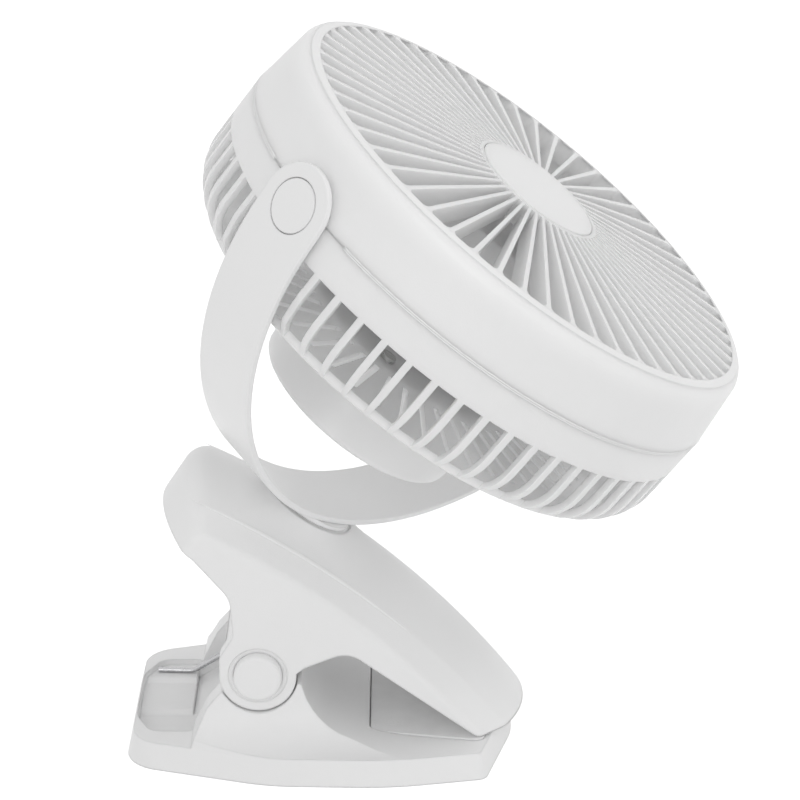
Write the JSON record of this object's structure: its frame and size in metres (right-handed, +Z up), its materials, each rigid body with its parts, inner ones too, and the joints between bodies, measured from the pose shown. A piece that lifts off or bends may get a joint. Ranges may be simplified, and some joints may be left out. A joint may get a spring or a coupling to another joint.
{
  "type": "clip fan",
  "caption": "Round battery fan in a swivelling yoke on a sprung desk clip, with a radial rib grille, a vented rear shell and a motor pod.",
  "frame": {"origin": "centre of the clip's underside, where it rests on a surface", "axes": "+X along the clip towards the tip of its jaws, +Z up, +Y across the clip along its hinge pin"},
  "size_m": [0.1826, 0.1667, 0.2159],
  "materials": {
    "white_shell": "fine matt moulding",
    "grille_white": "fine matt moulding",
    "fan_white": "satin moulding",
    "pad_rubber": "matt soft rubber",
    "mat_rubber": "matt rubber sheet",
    "spring_steel": "bright drawn wire",
    "screw_steel": "zinc plated",
    "motor_metal": "drawn can",
    "bush_bronze": "sintered",
    "cell_foil": "foil pouch",
    "board_green": "solder mask",
    "port_metal": "plated",
    "button_grey": "matt",
    "lens_clear": "translucent"
  },
  "bodies": {
    "lower_clip": {"lower_jaw": "white_shell", "lower_pad": "pad_rubber", "base_mat": "mat_rubber", "hinge_pin": "screw_steel", "torsion_spring": "spring_steel"},
    "upper_clip": {"upper_jaw": "white_shell", "upper_pad": "pad_rubber", "hinge_caps": "white_shell"},
    "yoke_arm": {"yoke": "white_shell", "swivel_disc": "white_shell", "swivel_screw": "screw_steel", "swivel_plate": "screw_steel"},
    "fan_head": {"front_grille": "grille_white", "grille_cap": "grille_white", "rear_shell": "white_shell", "pod_cover": "white_shell", "charging_port": "port_metal", "indicator_lens": "lens_clear", "battery_pack": "cell_foil", "circuit_board": "board_green", "motor_can": "motor_metal", "motor_bushes": "bush_bronze", "motor_screws": "screw_steel", "pod_screws": "screw_steel", "pivot_caps": "white_shell", "pivot_washers": "button_grey", "pivot_screws": "screw_steel"},
    "impeller": {"fan_blade": "fan_white", "motor_shaft": "screw_steel"},
    "button": {"power_button": "button_grey"}
  },
  "joints": [
    {"name": "jaw_open", "type": "hinge", "parent": "lower_clip", "child": "upper_clip", "pos_m": [-0.0174, 0, 0.0293], "axis": [0, -1, 0], "range_deg": [0, 28], "stiffness_Nm_per_rad": 2, "springref_deg": -28.65},
    {"name": "yoke_swivel", "type": "hinge", "parent": "upper_clip", "child": "yoke_arm", "pos_m": [-0.00263, 0, 0.07292], "axis": [0.5515, 0, 0.8342], "range_deg": [-133.3, 226.7]},
    {"name": "head_tilt", "type": "hinge", "parent": "yoke_arm", "child": "fan_head", "pos_m": [0.048, 0, 0.1495], "axis": [0.6071, 0.6858, -0.4014], "range_deg": [-95.6, 84.4]},
    {"name": "fan_spin", "type": "hinge", "parent": "fan_head", "child": "impeller", "pos_m": [0.048, 0, 0.1495], "axis": [0.6047, -0.071, 0.7933], "continuous": true},
    {"name": "button_press", "type": "slide", "parent": "fan_head", "child": "button", "axis": [0.6047, -0.071, 0.7933], "range_m": [0, 0.0005], "stiffness_N_per_m": 800, "springref_m": -0.001}
  ]
}
